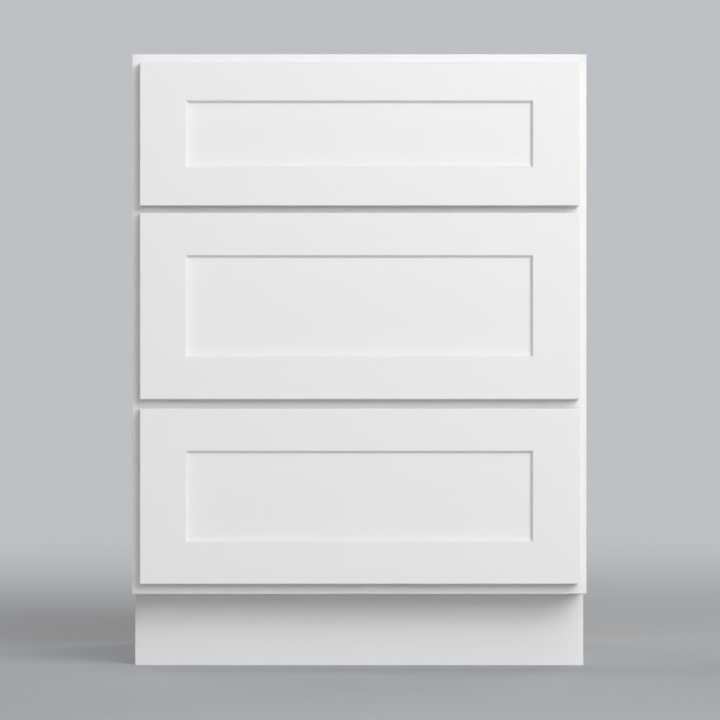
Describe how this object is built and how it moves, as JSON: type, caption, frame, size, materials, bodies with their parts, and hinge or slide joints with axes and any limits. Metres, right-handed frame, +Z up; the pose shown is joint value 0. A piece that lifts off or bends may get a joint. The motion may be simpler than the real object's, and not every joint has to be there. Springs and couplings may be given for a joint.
{
  "type": "base cabinet with drawers",
  "caption": "White face-framed kitchen base cabinet with recessed-panel drawer fronts on concealed runners, dovetailed drawer boxes and a recessed toe kick.",
  "frame": {"origin": "on the floor, midway across the width and the overall depth", "axes": "+X to the right as seen from the front, +Y from the drawer fronts to the back, +Z up"},
  "size_m": [0.606, 0.6, 0.82],
  "materials": {
    "lacquered_white": "satin white lacquer on hardwood and fibreboard",
    "birch_plywood": "clear-coated birch plywood",
    "drawer_maple": "clear-coated solid maple",
    "zinc_steel": "zinc-plated rolled sheet",
    "screw_steel": "zinc-plated",
    "cage_plastic": "natural moulded acetal",
    "clip_plastic": "moulded grey plastic",
    "clear_bumper": "clear soft polyurethane"
  },
  "bodies": {
    "cabinet": {"left_side_panel": "lacquered_white", "right_side_panel": "lacquered_white", "bottom_panel": "birch_plywood", "back_panel": "birch_plywood", "top_back_rail": "birch_plywood", "toe_kick_board": "birch_plywood", "toe_kick_skin": "lacquered_white", "frame_left_stile": "lacquered_white", "frame_right_stile": "lacquered_white", "frame_top_rail": "lacquered_white", "frame_upper_rail": "lacquered_white", "frame_lower_rail": "lacquered_white", "frame_bottom_rail": "lacquered_white", "corner_blocks": "birch_plywood", "runner_tracks": "zinc_steel", "runner_brackets": "zinc_steel", "runner_screws": "screw_steel", "frame_bumpers": "clear_bumper"},
    "top_drawer": {"top_drawer_front_left_stile": "lacquered_white", "top_drawer_front_right_stile": "lacquered_white", "top_drawer_front_top_rail": "lacquered_white", "top_drawer_front_bottom_rail": "lacquered_white", "top_drawer_front_panel": "lacquered_white", "top_drawer_box_left_side": "drawer_maple", "top_drawer_box_right_side": "drawer_maple", "top_drawer_box_front": "drawer_maple", "top_drawer_box_back": "drawer_maple", "top_drawer_box_bottom": "birch_plywood", "top_drawer_runner_channels": "zinc_steel", "top_drawer_locking_clips": "clip_plastic", "top_drawer_screws": "screw_steel"},
    "top_carriages": {"top_drawer_roller_carriages": "cage_plastic"},
    "middle_drawer": {"middle_drawer_front_left_stile": "lacquered_white", "middle_drawer_front_right_stile": "lacquered_white", "middle_drawer_front_top_rail": "lacquered_white", "middle_drawer_front_bottom_rail": "lacquered_white", "middle_drawer_front_panel": "lacquered_white", "middle_drawer_box_left_side": "drawer_maple", "middle_drawer_box_right_side": "drawer_maple", "middle_drawer_box_front": "drawer_maple", "middle_drawer_box_back": "drawer_maple", "middle_drawer_box_bottom": "birch_plywood", "middle_drawer_runner_channels": "zinc_steel", "middle_drawer_locking_clips": "clip_plastic", "middle_drawer_screws": "screw_steel"},
    "middle_carriages": {"middle_drawer_roller_carriages": "cage_plastic"},
    "bottom_drawer": {"bottom_drawer_front_left_stile": "lacquered_white", "bottom_drawer_front_right_stile": "lacquered_white", "bottom_drawer_front_top_rail": "lacquered_white", "bottom_drawer_front_bottom_rail": "lacquered_white", "bottom_drawer_front_panel": "lacquered_white", "bottom_drawer_box_left_side": "drawer_maple", "bottom_drawer_box_right_side": "drawer_maple", "bottom_drawer_box_front": "drawer_maple", "bottom_drawer_box_back": "drawer_maple", "bottom_drawer_box_bottom": "birch_plywood", "bottom_drawer_runner_channels": "zinc_steel", "bottom_drawer_locking_clips": "clip_plastic", "bottom_drawer_screws": "screw_steel"},
    "bottom_carriages": {"bottom_drawer_roller_carriages": "cage_plastic"}
  },
  "joints": [
    {"name": "top_drawer_slide", "type": "slide", "parent": "cabinet", "child": "top_drawer", "axis": [0, -1, 0], "range_m": [0, 0.4]},
    {"name": "top_carriage_slide", "type": "slide", "parent": "cabinet", "child": "top_carriages", "axis": [0, -1, 0], "range_m": [0, 0.2]},
    {"name": "middle_drawer_slide", "type": "slide", "parent": "cabinet", "child": "middle_drawer", "axis": [0, -1, 0], "range_m": [0, 0.4]},
    {"name": "middle_carriage_slide", "type": "slide", "parent": "cabinet", "child": "middle_carriages", "axis": [0, -1, 0], "range_m": [0, 0.2]},
    {"name": "bottom_drawer_slide", "type": "slide", "parent": "cabinet", "child": "bottom_drawer", "axis": [0, -1, 0], "range_m": [0, 0.4]},
    {"name": "bottom_carriage_slide", "type": "slide", "parent": "cabinet", "child": "bottom_carriages", "axis": [0, -1, 0], "range_m": [0, 0.2]}
  ],
  "couplings": [
    {"joint": "top_carriage_slide", "follows": "top_drawer_slide", "ratio": 0.5},
    {"joint": "middle_carriage_slide", "follows": "middle_drawer_slide", "ratio": 0.5},
    {"joint": "bottom_carriage_slide", "follows": "bottom_drawer_slide", "ratio": 0.5}
  ]
}
